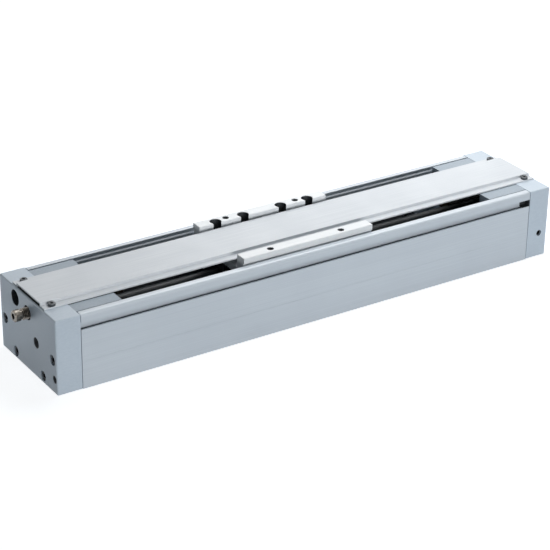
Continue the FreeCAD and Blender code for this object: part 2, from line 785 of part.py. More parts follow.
def slider_ends():
    """End rings of the magnet housing with their wear rings and scrapers."""
    groove = "slider_rub + wear_depth + fit_gap"
    mouth = "slider_rub + scraper_depth + fit_gap"
    wear_end = "wear_place + wear_width + 2 * fit_gap"
    lip = "end_ring_length - scraper_width"
    points = [("0", "slider_bore"), ("wear_place", "slider_bore"), ("wear_place", groove), (wear_end, groove),
              (wear_end, "slider_bore"), (lip, "slider_bore"), (lip, mouth), ("end_ring_length", mouth),
              ("end_ring_length", "slider_radius"), ("0", "slider_radius")]
    body = turned("slider_end_ring", points)
    at_both_ends("slider_end_rings", body, "stack / 2")
    wear = ring("slider_wear_ring", "slider_rub", "slider_rub + wear_depth", "wear_width")
    at_both_ends("slider_wear_rings", wear, "stack / 2 + wear_place + fit_gap")
    scraper = ring("slider_scraper", "slider_rub", "slider_rub + scraper_depth", "scraper_width")
    at_both_ends("slider_scrapers", scraper, "stack / 2 + " + lip)


def piston():
    """Free piston: hollow shaft, magnets, heads, seals, wear rings and nuts."""
    seal_radius = "shaft_bore + cushion_seal_section + fit_gap"
    shoulder = "shaft_half - cushion_seal_width"
    half = [(shoulder, "shaft_bore"), (shoulder, seal_radius), ("shaft_half", seal_radius),
            ("shaft_half", "shaft_radius")]
    points = half + [(minus(along), radius) for along, radius in reversed(half)]
    shaft = turned("piston_shaft", points)
    place(shaft, along="table_rest", up="axis_height")
    node(shaft, "piston_shaft")
    hub = "shaft_radius + fit_gap"
    magnet_stack("inner_magnets", "inner_yokes", hub, "inner_magnet_radius")

    seal_floor = "rubbing_radius - seal_depth - fit_gap"
    ring_floor = "rubbing_radius - ring_depth - fit_gap"
    seal_end = "seal_place + seal_width + 2 * fit_gap"
    ring_end = "ring_place + ring_width + 2 * fit_gap"
    profile = [("0", hub), ("piston_length", hub), ("piston_length", "piston_radius"),
               (ring_end, "piston_radius"), (ring_end, ring_floor), ("ring_place", ring_floor),
               ("ring_place", "piston_radius"), (seal_end, "piston_radius"), (seal_end, seal_floor),
               ("seal_place", seal_floor), ("seal_place", "piston_radius"), ("0", "piston_radius")]
    for label, along, half_turn in (("piston_head_right", "table_rest + stack / 2", False),
                                    ("piston_head_left", "table_rest - stack / 2", True)):
        head = turned(label, profile)
        place(head, along=along, up="axis_height", half_turn=half_turn)
        node(head, label)
    seal = ring("piston_seal", "rubbing_radius - seal_depth", "rubbing_radius", "seal_width")
    at_both_ends("piston_seals", seal, "stack / 2 + seal_place + fit_gap")
    wear = ring("piston_wear_ring", "rubbing_radius - ring_depth", "rubbing_radius", "ring_width")
    at_both_ends("piston_wear_rings", wear, "stack / 2 + ring_place + fit_gap")
    lip = "nut_length - nut_lip"
    nut = turned("piston_nut", [("0", hub), (lip, hub), (lip, "shaft_bore"), ("nut_length", "shaft_bore"),
                                ("nut_length", "nut_diameter / 2"), ("0", "nut_diameter / 2")])
    at_both_ends("piston_nuts", nut, "stack / 2 + piston_length")
    cushion = ring("cushion_seal", "spear_radius + fit_gap", "shaft_bore + cushion_seal_section",
                   "cushion_seal_width")
    at_both_ends("cushion_seals", cushion, shoulder)


def cushion_spear(label, half_turn):
    """Spear that enters the piston's shaft; a groove that grows shallow meters the trapped air."""
    body = turned(label, [(minus("spear_end"), "0"), (minus("spear_tip"), "0"),
                          (minus("spear_tip"), "spear_radius - spear_nose"),
                          (minus("spear_tip + spear_nose"), "spear_radius"),
                          (minus("spear_end"), "spear_radius")])
    start = minus("spear_tip + spear_nose")
    finish = minus("spear_tip + cushion_stroke")
    wedge = [(start, "spear_radius - spear_groove_deep"), (finish, "spear_radius - spear_groove_shallow"),
             (finish, "spear_radius + spear_nose"), (start, "spear_radius + spear_nose")]
    groove = cut(body, outline(new_sketch(body, "XZ"), wedge), "spear_groove")
    groove.SideType = "Symmetric"
    place(body, up="axis_height", half_turn=half_turn)
    node(body, label)


def stop_bolt(side, half_turn):
    """Stop bolt through the end plate, with a soft bumper on its inner end."""
    radius = "stop_diameter / 2"
    spigot = "bumper_spigot / 2"
    outer = minus("stop_outer")
    shoulder = minus("stop_shoulder")
    root = minus("stop_shoulder + bumper_spigot_length")
    bolt = turned("stop_bolt_" + side, [(outer, "0"), (root, "0"), (root, spigot + " + fit_gap"),
                                        (shoulder, spigot + " + fit_gap"), (shoulder, radius),
                                        (outer, radius)])
    cut(bolt, hexagon(new_sketch(bolt, "YZ", outer), "stop_key"), "stop_key_depth", forward=True)
    bumper = turned("stop_bumper_" + side, [(root, "0"), (minus("stop_tip"), "0"),
                                            (minus("stop_tip"), "bumper_diameter / 2"),
                                            (shoulder, "bumper_diameter / 2"), (shoulder, spigot),
                                            (root, spigot)])
    for piece, name in ((bolt, "stop_bolt_"), (bumper, "stop_bumper_")):
        place(piece, up="stop_height", half_turn=half_turn)
        node(piece, name + side)


def tube():
    """Thin tube held between the end plates, with a gasket near each end."""
    body = turned("cylinder_tube", [(minus("tube_half"), "bore / 2"), ("tube_half", "bore / 2"),
                                    ("tube_half", "tube_radius"), (minus("tube_half"), "tube_radius")])
    place(body, up="axis_height")
    node(body, "cylinder_tube")
    gasket = ring("tube_gasket", "tube_radius + fit_gap", "gasket_radius", "gasket_width")
    along = "inner_face + gasket_place"
    copies("tube_gaskets", [(gasket, {"along": along, "up": "axis_height"}),
                            (gasket, {"along": minus(along), "up": "axis_height", "half_turn": True})])


def plugs():
    """Threaded plug in the side hole of each end plate."""
    body = new_body("passage_plug")
    pad(body, circles(new_sketch(body, "XZ"), [("0", "0")], "plug_diameter / 2"), "plug_length")
    socket = hexagon(new_sketch(body, "XZ"), "small_key")
    cut(body, socket, "plug_length / 2", forward=True)
    along = "half_length - plug_inset"
    across = "half_width - plug_sink"
    copies("passage_plugs", [(body, {"along": minus(along), "across": across, "up": "plug_height"}),
                             (body, {"along": along, "across": minus(across), "up": "plug_height",
                                     "half_turn": True})])


def fasteners():
    """Screws, one node for each job."""
    side = screw("side_screw", "large", "plate_thickness - large_sink + side_screw_grip")
    low = screw("base_screw", "large", "plate_thickness - large_sink + base_screw_grip")
    pieces = []
    for half_turn, turn in ((False, minus), (True, str)):
        for across, up in both_sides("side_screw_offset", "side_screw_height"):
            pieces.append((side, {"along": turn("half_length - large_sink"), "across": across, "up": up,
                                  "half_turn": half_turn}))
        for across, up in both_sides("base_screw_offset", "base_screw_height"):
            pieces.append((low, {"along": turn("half_length - large_sink"), "across": across, "up": up,
                                 "half_turn": half_turn}))
    copies("end_plate_screws", pieces)

    bolts = bolt_row("table_rest + block_offset") + bolt_row("table_rest - block_offset")
    housing = [("table_rest + " + along, across) for along, across
               in grid("(housing_length / 2 - housing_screw_inset)", "housing_screw_offset")]
    stops = [("table_rest + " + along, across) for along, across
             in grid("(table_half - stop_block_length / 2)", "stop_screw_offset")]
    rails = [(along, across) for along in rail_screw_places() for across, _ in both_sides("rail_offset")]
    covers = grid("cover_screw_place", "cover_screw_offset")
    under_bridge = "bridge_thickness - table_sink"
    for label, size, length, seat, spots in (
            ("cover_screws", "flat", "cover_sheet + cover_screw_grip - screw_gap",
             "body_height + cover_sheet", covers),
            ("rail_screws", "small", "rail_height - small_head_height - table_head_sink + rail_screw_grip",
             "rail_top - small_head_height - table_head_sink", rails),
            ("rear_block_screws", "large", "block_seat + block_grip", "block_top + block_seat",
             [(along, "rear_bolt") for along in bolts]),
            ("front_block_screws", "small", "foot_height + block_grip", "foot_top",
             [(along, minus("front_bolt")) for along in bolts]),
            ("housing_screws", "small", under_bridge + " + housing_screw_grip", "bridge_top - table_sink",
             housing),
            ("stop_block_screws", "small", under_bridge + " + stop_screw_grip", "bridge_top - table_sink",
             stops)):
        master = screw(label + "_one", size, length)
        copies(label, [(master, {"along": along, "across": across, "up": seat, "down": True})
                       for along, across in spots])


def build():
    fill_sheet()
    for half_turn, end in ((False, "left"), (True, "right")):
        end_plate("end_plate_" + end, half_turn)
        cushion_spear("cushion_spear_" + end, half_turn)
        stop_bolt(end, half_turn)
        stop_block("stop_block_" + end, half_turn)
    base()
    side_cover("side_cover_front", False)
    side_cover("side_cover_rear", True)
    top_cover()
    corner_block("corner_block_front_left", -1, False)
    corner_block("corner_block_rear_left", 1, False)
    corner_block("corner_block_front_right", 1, True)
    corner_block("corner_block_rear_right", -1, True)
    tube()
    guide_rail("guide_rail_rear", False)
    guide_rail("guide_rail_front", True)
    for end, middle in (("right", "block_offset"), ("left", "-block_offset")):
        guide_block("guide_block_rear_" + end, middle, "rear_bolt", "large_screw", False)
    for end, middle in (("left", "block_offset"), ("right", "-block_offset")):
        guide_block("guide_block_front_" + end, middle, "front_bolt", "small_screw", True)
    end_seals()
    slide_table()
    magnet_housing()
    magnet_stack("outer_magnets", "outer_yokes", "slider_bore", "slider_radius")
    slider_ends()
    piston()
    plugs()
    fasteners()
    doc.recompute()


def check():
    """Stop before anything is written if a feature failed or a shape is not sound."""
    for item in doc.Objects:
        if "Invalid" in item.State or "Error" in item.State:
            raise RuntimeError("%s failed: %s" % (item.Label, item.State))
    for item in nodes:
        if item.Shape.isNull() or not item.Shape.isValid() or not item.Shape.Solids:
            raise RuntimeError("%s has no sound solid" % item.Label)


build()
check()
os.makedirs("parts", exist_ok=True)
for item in nodes:
    item.Shape.exportStep("parts/%s.step" % item.Label)
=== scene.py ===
import json
from math import atan2, cos, pi, radians

import bmesh
import bpy
from mathutils import Matrix, Vector


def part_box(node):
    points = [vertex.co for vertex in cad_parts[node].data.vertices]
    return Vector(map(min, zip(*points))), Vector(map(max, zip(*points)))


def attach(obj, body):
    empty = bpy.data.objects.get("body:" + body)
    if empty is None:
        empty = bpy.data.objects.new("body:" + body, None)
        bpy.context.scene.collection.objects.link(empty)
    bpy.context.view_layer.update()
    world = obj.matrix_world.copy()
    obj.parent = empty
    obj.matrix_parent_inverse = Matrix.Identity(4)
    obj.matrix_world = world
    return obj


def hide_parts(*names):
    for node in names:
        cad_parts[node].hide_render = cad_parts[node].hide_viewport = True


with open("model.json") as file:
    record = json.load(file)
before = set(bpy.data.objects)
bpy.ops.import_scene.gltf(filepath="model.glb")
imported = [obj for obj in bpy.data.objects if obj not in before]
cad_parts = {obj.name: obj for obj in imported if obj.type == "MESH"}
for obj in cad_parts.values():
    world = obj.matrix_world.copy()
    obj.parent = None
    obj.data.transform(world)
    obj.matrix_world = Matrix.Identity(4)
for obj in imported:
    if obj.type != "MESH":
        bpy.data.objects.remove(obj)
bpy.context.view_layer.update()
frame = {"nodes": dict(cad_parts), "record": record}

# Rodless pneumatic cylinder on a pale studio floor. Objects are in metres, in the same frame as the CAD part:
# X along the stroke, Y from the front side to the rear, Z up. Sizes below are in mm where no unit is given.
MM = 0.001
MOUNTS = {mount["name"]: mount for mount in frame["record"]["mounts"]}
ENDS = (("left", -1), ("right", 1))

# The photograph's camera: place and reach in metres, angles in degrees, lens for a 36 mm wide sensor
CAMERA_PLACE = (-0.85676, -1.28411, 0.79634)
CAMERA_YAW = 33.302
CAMERA_PITCH = 26.650
CAMERA_ROLL = 0.957
CAMERA_LENS = 128.83
CAMERA_REACH = 30
SENSOR = 36.0

# Distances at which corners are merged, angles that tell edges apart, widths of eased edges, and steps of
# an eased edge and of a full round
MERGE = 0.002
WELD = 0.0005
FLAT = radians(0.6)
SHARP = radians(28)
SMOOTH = radians(24)
EASE_PLATE = 0.35
EASE_EXTRUSION = 0.2
EASE_SHEET = 0.2
EASE_BLOCK = 0.3
EASE_TABLE = 0.3
EASE_STEPS = 2
ROUND_STEPS = 48

# Threads: ends of a turn's crest and depths, as shares of the pitch
CREST_START = 0.4
CREST_END = 0.6
BOLT_DEPTH = 0.6
TAP_DEPTH = 0.55

# Socket screws, their sizes as in the part
SCREWS = {
    "small": {"radius": 2.0, "head": 3.5, "height": 4.0, "key": 3.0},
    "large": {"radius": 2.5, "head": 4.25, "height": 5.0, "key": 4.0},
    "flat": {"radius": 2.0, "head": 3.2, "height": 2.0, "key": 2.5},
}
SCREW_PITCH = 0.8
SCREW_PLAIN = 0.5
SCREW_LEAD = 0.6
HEAD_CHAMFER = 0.1

# Shares: the screw's point of its radius, the head's rounding of its radius and of itself at its middle,
# the socket's rim of its key, and the depth of the socket's drilled point of half its key
SCREW_POINT = 0.75
HEAD_ROUND = 0.12
ROUND_MIDDLE = 0.3
SOCKET_RIM = 0.68
DRILL_POINT = 0.5

# Stop bolts: heights run down from the outer end, and the spigot hole takes the bumper
STOP_PITCH = 1.5
STOP_RADIUS = 5.0
STOP_KEY = 5.0
STOP_KEY_DEPTH = 5.0
STOP_RIM = 3.1
STOP_TIP = 0.8
STOP_NECK = 4.0
STOP_NECK_START = -5.2
STOP_NECK_SLOPE = 0.4
STOP_NECK_END = -7.0
SPIGOT_RADIUS = 2.05
SPIGOT_DEPTH = 4.0

# Plugs of the side passages; the point is a share of the radius
PLUG_KEY = 3.0
PLUG_RIM = 2.05
PLUG_POINT = 0.8
PLUG_LEAD = 0.5
PLUG_CHAMFER = 0.45

# Tapped holes: thread pitches, and sizes that the mounts do not give
HOLE_PITCH = 1.0
PORT_PITCH = 0.9
TABLE_HOLE_DEPTH = 14.0
FOOT_HOLE_DEPTH = 12.0
CORNER_HOLE_RADIUS = 3.5
CORNER_HOLE_DEPTH = 10.0
CORNER_HOLE_INSET = 4.8
CORNER_HOLE_HEIGHT = 13.0
HOLE_END = 0.5
LINING_GAP = 0.03
LINING_MOUTH = 0.45

# Recesses lined with near-black painted shade: stop bolt seats, spare hole seats and table counterbores
STOP_RECESS_RADIUS = 6.3
STOP_RECESS_DEPTH = 3.0
STOP_RECESS_ROOM = 0.3
SPARE_RECESS_RADIUS = 7.0
SPARE_RECESS_DEPTH = 6.0
COUNTERBORE_RADIUS = 5.25
COUNTERBORE_SHOWN = 14.0
BAR_INNER_FACE = 30.6

# The front groove's entry, its undercut, and the space under the panel's left end
ENTRY_START = 221.2
ENTRY_END = 229.0
ENTRY_FRONT = -49.6
ENTRY_BACK = -43.8
ENTRY_LOW = 53.85
ENTRY_HIGH = 60.15
UNDERCUT_FRONT = -48.3
UNDERCUT_BACK = -45.5
UNDERCUT_FLOOR = 52.83
PANEL_END = -250.4
PANEL_SPACE_END = -230.0
PANEL_SPACE_HALF = 21.2
PANEL_SPACE_FLOOR = 67.53

# Thin dark films of painted shade that line them, from low to high corner: the entry's back, end and floor,
# then the undercut and the panel's space. The rear groove and the right end have the same, turned half a
# turn.
SHADE_FILM = 0.1
SHADE_FILMS = (
    ((ENTRY_START, ENTRY_BACK, ENTRY_LOW), (ENTRY_END, ENTRY_BACK + 2 * SHADE_FILM, ENTRY_HIGH)),
    ((ENTRY_END - SHADE_FILM, ENTRY_FRONT, ENTRY_LOW), (ENTRY_END, ENTRY_BACK, ENTRY_HIGH)),
    ((ENTRY_START, ENTRY_FRONT, ENTRY_LOW), (ENTRY_END - SHADE_FILM, ENTRY_BACK, ENTRY_LOW + SHADE_FILM)),
    ((-ENTRY_END, UNDERCUT_FRONT, UNDERCUT_FLOOR), (ENTRY_END, UNDERCUT_BACK, UNDERCUT_FLOOR + SHADE_FILM / 2)),
    ((PANEL_END, -PANEL_SPACE_HALF, PANEL_SPACE_FLOOR),
     (PANEL_SPACE_END, PANEL_SPACE_HALF, PANEL_SPACE_FLOOR + SHADE_FILM / 2)),
)

# Studio: floor size in metres, its drop below the part in mm, its colour and its glow, and a cool fill light
FLOOR_SIZE = 4.0
FLOOR_DROP = 0.4
FLOOR_COLOUR = "#aeb8c1"
FLOOR_GLOW = 0.86
WHITE = (1, 1, 1, 1)
FILL = (0.70, 0.88, 1.0, 1.0)
FILL_STRENGTH = 0.06

# Softboxes: place, target, width and height in metres, and power in watts
SOFTBOXES = {
    # Overhead, for the panel and the bars
    "key": ((0.3, 0.12, 0.7), (0.2, 0, 0.03), 0.6, 0.4, 3.6),
    # Behind on the right, for the sheen of the brushed panel
    "rear": ((0.42, 0.5, 0.6), (0.05, 0, 0.03), 0.7, 0.5, 2.2),
    # Far behind, for the rear side
    "back": ((0.0, 2.5, 0.36), (0, 0, 0.03), 1.2, 0.4, 14),
    # Low on the left, for the end face
    "left": ((-1.8, -0.5, 0.03), (-0.25, 0, 0.03), 0.8, 0.3, 1.1),
    # Far and low in front, so that the front side is lit and the slots stay dark
    "front": ((-0.25, -2.5, 0.36), (0, 0, 0.03), 1.0, 0.4, 30),
}

# Noise of the finishes: detail, share of the clouding, and the range that spans the two colours
GRAIN_DETAIL = 3.0
GRAIN_ROUGHNESS = 0.6
CLOUD_DETAIL = 2.0
CLOUD_SHARE = 0.35
NOISE_LOW = 0.34
NOISE_HIGH = 0.66

# Finishes, each for one material, some with painted shade or painted reflections where noted: dark and light
# colour, metallic, lowest and highest roughness, grain along X, Y and Z, depth of the grain and size of the
# clouding. Real die, brush and tool lines lie a tenth of a millimetre apart or less, too fine to show, so the
# grain is drawn coarser.
FINISHES = {
    # Clear anodised extrusion: satin silver with faint die lines along the length
    "anodised_extrusion": ("#c8d0d8", "#d0d8df", 0.1, (0.34, 0.44), (160.0, 0.7, 0.7), 0.002, 45.0),
    # Milled and clear anodised plate: an even, slightly duller satin
    "anodised_plate": ("#bfcbd6", "#c7d2dc", 0.1, (0.38, 0.48), (3.0, 1.2, 1.2), 0.003, 45.0),
    # Brushed and anodised sheet: long fine brush lines that stretch the shine
    "brushed_sheet": ("#c8cdd2", "#d8dce0", 0.1, (0.50, 0.60), (90.0, 0.5, 0.5), 0.004, 45.0),
    # Filler block: an even mid grey, darker than the rest of the housing, with little shine
    "matt_filler": ("#96a2ad", "#a3aeb8", 0.1, (0.48, 0.58), (2.0, 1.0, 1.0), 0.003, 45.0),
    # Fine milled and clear anodised table: pale, with faint cutter lines along the bars
    "milled_table": ("#e0e4e7", "#eef0f1", 0.1, (0.46, 0.56), (40.0, 0.6, 0.6), 0.003, 45.0),
    # Tapped threads, bored recesses and hollows: near black, painted shade inside them, with a faint grain
    "painted_shade_lining": ("#2c2f33", "#43474c", 0.2, (0.36, 0.50), (4.0, 4.0, 1.0), 0.004, 9.0),
    # Phosphated steel of the cover screws: dark grey with a dull shine
    "phosphated_steel": ("#36393c", "#55595d", 0.8, (0.30, 0.44), (1.0, 1.0, 1.0), 0.003, 6.0),
    # Turned aluminium: bright, with fine tool marks round the axis
    "turned_aluminium": ("#b0b2b4", "#c4c6c8", 0.9, (0.28, 0.40), (0.5, 6.0, 6.0), 0.004, 45.0),
    # Drawn stainless tube: smooth, with long drawing lines, darkened to grey as painted shade of the slots it
    # is seen through
    "shade_darkened_stainless": ("#5a5c5e", "#6b6d6f", 1.0, (0.34, 0.46), (120.0, 0.8, 0.8), 0.003, 45.0),
    # Bearing steel of the rails, blocks and stops: near black, painted shade of the slots they sit in, with
    # fine grinding lines along the rails
    "shade_darkened_bearing_steel": ("#2a2c2e", "#3a3c3f", 0.8, (0.30, 0.42), (50.0, 0.5, 0.5), 0.003, 45.0),
    # Black oxide on alloy steel: near black with a slight oily shine
    "black_oxide": ("#131315", "#232427", 0.6, (0.32, 0.48), (1.0, 1.0, 1.0), 0.003, 6.0),
    # Plain oiled steel of the stop bolts: brown grey, with a wide spread of dark and light patches that
    # paints the bolt's reflections, and a soft shine
    "oiled_steel_painted_sheen": ("#34312d", "#98928a", 1.0, (0.14, 0.26), (2.0, 2.0, 2.0), 0.003, 5.0),
    # Nickel plated ring magnets: bright and faintly warm
    "nickel_plate": ("#b0aca4", "#c9c5bc", 1.0, (0.12, 0.22), (3.0, 3.0, 3.0), 0.002, 9.0),
    # Plain turned steel yokes: mid grey with fine tool marks round the axis
    "plain_steel": ("#7c7d7f", "#959698", 1.0, (0.30, 0.42), (0.5, 5.0, 5.0), 0.004, 45.0),
    # Nitrile rubber: flat black with almost no shine
    "nitrile_rubber": ("#121213", "#1d1d1f", 0.0, (0.62, 0.78), (1.2, 1.2, 1.2), 0.01, 45.0),
    # Filled bearing plastic of the wear rings: a dull brown
    "bearing_plastic": ("#594630", "#6f5a40", 0.0, (0.50, 0.62), (1.5, 1.5, 1.5), 0.006, 45.0),
    # Moulded nylon of the end seals: black with a soft sheen
    "moulded_nylon": ("#17181a", "#212326", 0.0, (0.46, 0.58), (1.0, 1.0, 1.0), 0.008, 45.0),
    # Cast urethane of the bumpers: dark amber brown with a soft shine
    "cast_urethane": ("#3a2c1c", "#4a3a27", 0.0, (0.36, 0.48), (2.0, 2.0, 2.0), 0.004, 45.0),
}

# Finishes of the pieces that keep their CAD shape
KEPT = {
    # The tube is coloured dark grey as painted shade of the slots
    "shade_darkened_stainless": ["cylinder_tube"],
    # Rails, blocks and stops are coloured near black as painted shade of the slots
    "shade_darkened_bearing_steel": ["guide_rail_front", "guide_rail_rear", "guide_block_front_left",
                            "guide_block_front_right", "guide_block_rear_left", "guide_block_rear_right",
                            "stop_block_left", "stop_block_right"],
    "milled_table": ["magnet_housing"],
    "nickel_plate": ["outer_magnets", "inner_magnets"],
    "plain_steel": ["outer_yokes", "inner_yokes"],
    "turned_aluminium": ["piston_shaft", "piston_head_left", "piston_head_right", "piston_nuts",
                         "slider_end_rings", "cushion_spear_left", "cushion_spear_right"],
    "nitrile_rubber": ["tube_gaskets", "piston_seals", "cushion_seals", "slider_scrapers"],
    "bearing_plastic": ["piston_wear_rings", "slider_wear_rings"],
    "moulded_nylon": ["block_end_seals"],
    "cast_urethane": ["stop_bumper_left", "stop_bumper_right"],
}

# Machined pieces that get eased edges: nodes, body, finish, material slot and edge width
EASED = (
    (["end_plate_left", "end_plate_right"], "housing", "anodised_plate", "anodised_aluminium", EASE_PLATE),
    (["base", "side_cover_front", "side_cover_rear"], "housing", "anodised_extrusion", "anodised_aluminium",
     EASE_EXTRUSION),
    (["top_cover"], "housing", "brushed_sheet", "cover_aluminium", EASE_SHEET),
    (["corner_block_front_left", "corner_block_front_right", "corner_block_rear_left",
      "corner_block_rear_right"], "housing", "matt_filler", "filler_aluminium", EASE_BLOCK),
    (["slide_table"], "carriage", "milled_table", "table_aluminium", EASE_TABLE),
)

# Screws that get a detailed head and thread: body, kind, finish and the axis that they lie along
SCREW_NODES = {
    "end_plate_screws": ("housing", "large", "black_oxide", 0),
    "cover_screws": ("housing", "flat", "phosphated_steel", 2),
    "rail_screws": ("housing", "small", "black_oxide", 2),
    "rear_block_screws": ("carriage", "large", "black_oxide", 2),
    "front_block_screws": ("carriage", "small", "black_oxide", 2),
    "housing_screws": ("carriage", "small", "black_oxide", 2),
    "stop_block_screws": ("carriage", "small", "black_oxide", 2),
}


def linear(hex_text):
    """Linear colour of an sRGB hex value."""
    parts = [int(hex_text[i:i + 2], 16) / 255 for i in (1, 3, 5)]
    return [c / 12.92 if c <= 0.04045 else ((c + 0.055) / 1.055) ** 2.4 for c in parts] + [1.0]


def empty_tree(holder):
    """The node tree of a material or world, with nothing in it."""
    holder.use_nodes = True
    holder.node_tree.nodes.clear()
    return holder.node_tree


def add(tree, kind, inputs=None, **settings):
    """Add a node with its settings, and set or link its inputs."""
    node = tree.nodes.new("ShaderNode" + kind)
    for name, value in settings.items():
        setattr(node, name, value)
    for name, value in (inputs or {}).items():
        if isinstance(value, bpy.types.NodeSocket):
            tree.links.new(value, node.inputs[name])
        else:
            node.inputs[name].default_value = value
    return node


def surface(name, dark, light, metallic, roughness, grain, depth, cloud):
    """A finish with a noise grain stretched to sizes in mm along X, Y and Z, and broad soft clouding."""
    material = bpy.data.materials.new(name)
    tree = empty_tree(material)
    place = add(tree, "TexCoord").outputs["Object"]
    stretch = add(tree, "Mapping", {"Vector": place, "Scale": [1 / (size * MM) for size in grain]})
    lines = add(tree, "TexNoise", {"Vector": stretch.outputs["Vector"], "Scale": 1.0, "Detail": GRAIN_DETAIL,
                                   "Roughness": GRAIN_ROUGHNESS}).outputs["Fac"]
    clouds = add(tree, "TexNoise", {"Vector": place, "Scale": 1 / (cloud * MM),
                                    "Detail": CLOUD_DETAIL}).outputs["Fac"]
    both = add(tree, "Mix", {0: CLOUD_SHARE, 2: lines, 3: clouds}, data_type="FLOAT").outputs[0]
    spread = {"Value": both, "From Min": NOISE_LOW, "From Max": NOISE_HIGH}
    tone = add(tree, "MapRange", spread).outputs["Result"]
    colour = add(tree, "Mix", {0: tone, 6: linear(dark), 7: linear(light)}, data_type="RGBA").outputs[2]
    smooth, rough = roughness
    gloss = add(tree, "MapRange", {**spread, "To Min": rough, "To Max": smooth}).outputs["Result"]
    bump = add(tree, "Bump", {"Strength": 1.0, "Distance": depth * MM, "Height": lines})
    shader = add(tree, "BsdfPrincipled", {"Base Color": colour, "Metallic": metallic, "Roughness": gloss,
                                          "Normal": bump.outputs["Normal"]})
    add(tree, "OutputMaterial", {"Surface": shader.outputs["BSDF"]})
    return material


def piece(name, mesh, material, body, nodes=()):
    """Turn a bmesh into a shown piece that rides on a body and stands for the named CAD nodes."""
    data = bpy.data.meshes.new(name)
    mesh.to_mesh(data)
    mesh.free()
    data.materials.append(material)
    data.shade_smooth()
    data.set_sharp_from_angle(angle=SMOOTH)
    made = bpy.data.objects.new(name, data)
    bpy.context.scene.collection.objects.link(made)
    weighted = made.modifiers.new("even_faces", "WEIGHTED_NORMAL")
    weighted.keep_sharp = True
    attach(made, body)
    if nodes:
        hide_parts(*nodes)


def middle(low, high):
    """Point halfway between two corners."""
    return (low + high) / 2


def merged_copy(node):
    """A copy of a CAD node's mesh with its loose triangles joined up."""
    mesh = bmesh.new()
    mesh.from_mesh(frame["nodes"][node].data)
    bmesh.ops.remove_doubles(mesh, verts=mesh.verts, dist=MERGE * MM)
    return mesh


def islands(node):
    """Boxes in mm of the separate solids of a CAD node."""
    mesh = merged_copy(node)
    found = set()
    boxes = []
    for first in mesh.verts:
        if first in found:
            continue
        found.add(first)
        group = [first]
        for vert in group:
            others = [edge.other_vert(vert) for edge in vert.link_edges]
            group += [other for other in others if other not in found]
            found.update(others)
        spots = [vert.co / MM for vert in group]
        boxes.append((Vector([min(spot[i] for spot in spots) for i in range(3)]),
                      Vector([max(spot[i] for spot in spots) for i in range(3)])))
    mesh.free()
    return boxes


def aim(place, axis):
    """Matrix that puts a shape made along Z at a place in mm with its top towards axis."""
    turn = Vector((0, 0, 1)).rotation_difference(Vector(axis)).to_matrix().to_4x4()
    return Matrix.Translation(Vector(place) * MM) @ turn


def gather(parts):
    """One bmesh from (shape, matrix) pairs; each shape is used up."""
    whole = bmesh.new()
    for shape, matrix in parts:
        data = bpy.data.meshes.new("shape")
        shape.to_mesh(data)
        shape.free()
        data.transform(matrix)
        whole.from_mesh(data)
        bpy.data.meshes.remove(data)
    return whole


def turned(profile, closed=False):
    """A round shape about Z from a half profile of (radius, height) in mm; closed joins its two ends."""
    mesh = bmesh.new()
    verts = [mesh.verts.new((radius * MM, 0, height * MM)) for radius, height in profile]
    ends = verts[1:] + verts[:1] if closed else verts[1:]
    edges = [mesh.edges.new(pair) for pair in zip(verts, ends)]
    bmesh.ops.spin(mesh, geom=verts + edges, cent=(0, 0, 0), axis=(0, 0, 1), angle=2 * pi, steps=ROUND_STEPS,
                   use_merge=True)
    bmesh.ops.remove_doubles(mesh, verts=mesh.verts, dist=WELD * MM)
    return mesh


def push_ring(mesh, ring, move):
    """Extrude an open ring of edges and move its new corners; returns the new ring."""
    grown = bmesh.ops.extrude_edge_only(mesh, edges=ring)["geom"]
    for item in grown:
        if isinstance(item, bmesh.types.BMVert):
            item.co = move(item.co)
    return [item for item in grown if isinstance(item, bmesh.types.BMEdge) and item.is_boundary]


def hex_socket(mesh, key, depth):
    """Sink a hexagon socket with a drilled bottom into the open ring at the top."""
    ring = [edge for edge in mesh.edges if edge.is_boundary]
    flat = key / 2 * MM

    def to_hexagon(corner):
        turn = (atan2(corner.y, corner.x) + pi / 6) % (pi / 3) - pi / 6
        return Vector((corner.x, corner.y, 0)).normalized() * flat / cos(turn) + Vector((0, 0, corner.z))

    def deeper(corner):
        return corner - Vector((0, 0, depth * MM))

    def to_point(corner):
        return Vector((0, 0, corner.z - flat * DRILL_POINT))

    for move in (to_hexagon, deeper, to_point):
        ring = push_ring(mesh, ring, move)
    bmesh.ops.remove_doubles(mesh, verts=mesh.verts, dist=WELD * MM)
    bmesh.ops.recalc_face_normals(mesh, faces=mesh.faces)


def thread(root, crest, start, stop, pitch):
    """Half profile of a thread's turns from a start height down to a stop height."""
    turns = int((start - stop) / pitch)
    points = []
    for turn in range(turns):
        height = start - turn * pitch
        points += [(root, height), (crest, height - CREST_START * pitch), (crest, height - CREST_END * pitch)]
    return points + [(root, start - turns * pitch), (root, stop)]


def bolt_thread(radius, start, stop, pitch):
    """A bolt's thread, listed from its far end up."""
    return thread(radius - BOLT_DEPTH * pitch, radius, start, stop, pitch)[::-1]


def socket_screw(kind, length):
    """A socket head screw along Z, its head's seat at Z = 0."""
    size = SCREWS[kind]
    head, height, radius = size["head"], size["height"], size["radius"]
    edge = HEAD_ROUND * head
    profile = [(0, -length), (radius * SCREW_POINT, -length)]
    profile += bolt_thread(radius, -SCREW_PLAIN, SCREW_LEAD - length, SCREW_PITCH)
    profile += [(radius, -SCREW_PLAIN), (radius, 0), (head - HEAD_CHAMFER, 0), (head, HEAD_CHAMFER),
                (head, height - edge), (head - ROUND_MIDDLE * edge, height - ROUND_MIDDLE * edge),
                (head - edge, height), (size["key"] * SOCKET_RIM, height)]
    mesh = turned(profile)
    hex_socket(mesh, size["key"], height / 2)
    return mesh


